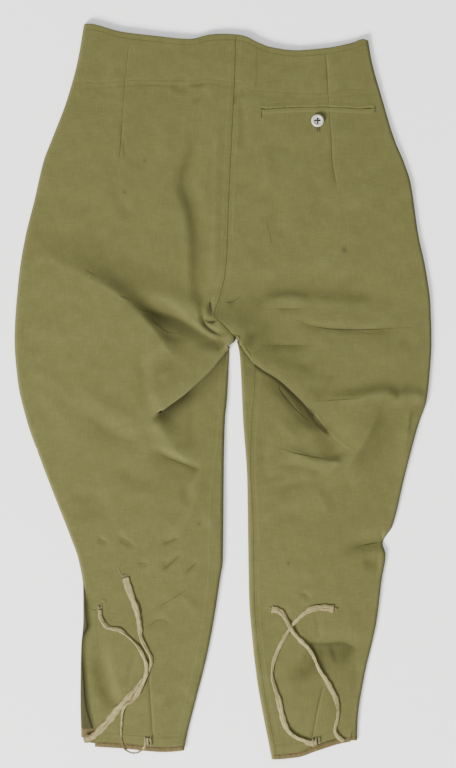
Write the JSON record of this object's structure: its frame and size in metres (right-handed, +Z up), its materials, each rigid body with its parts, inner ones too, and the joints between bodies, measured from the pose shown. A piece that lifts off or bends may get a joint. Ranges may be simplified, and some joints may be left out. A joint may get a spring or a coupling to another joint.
{
  "type": "military breeches",
  "caption": "Khaki cotton breeches laid flat with the back up, wide at the thigh and narrow at the calf, with a buttoned hip pocket and loose calf tapes.",
  "frame": {"origin": "middle of the breeches' own outline, on the surface that they lie on", "axes": "+X to the right as seen from above, +Y from the hems to the waist, +Z up out of the surface"},
  "size_m": [0.5352, 0.9426, 0.0145],
  "materials": {
    "khaki_cotton": "matt cotton drill",
    "brown_binding": "matt cotton tape",
    "cream_tape": "matt linen tape",
    "pearl_button": "soft pearl sheen"
  },
  "bodies": {
    "root": {"back_left": "khaki_cotton", "back_right": "khaki_cotton", "front_left": "khaki_cotton", "front_left_turn": "khaki_cotton", "front_right": "khaki_cotton", "front_right_turn": "khaki_cotton", "hem_binding_back_left": "brown_binding", "hem_binding_back_right": "brown_binding", "hem_binding_front_left": "brown_binding", "hem_binding_front_right": "brown_binding", "vent_underlap_left": "khaki_cotton", "vent_underlap_right": "khaki_cotton", "underlap_binding_left": "brown_binding", "underlap_binding_right": "brown_binding", "pocket_backing": "khaki_cotton", "pocket_button": "pearl_button", "tape_left_vent": "cream_tape", "tape_left_seam": "cream_tape", "tape_right_vent": "cream_tape", "tape_right_seam": "cream_tape"}
  },
  "joints": []
}
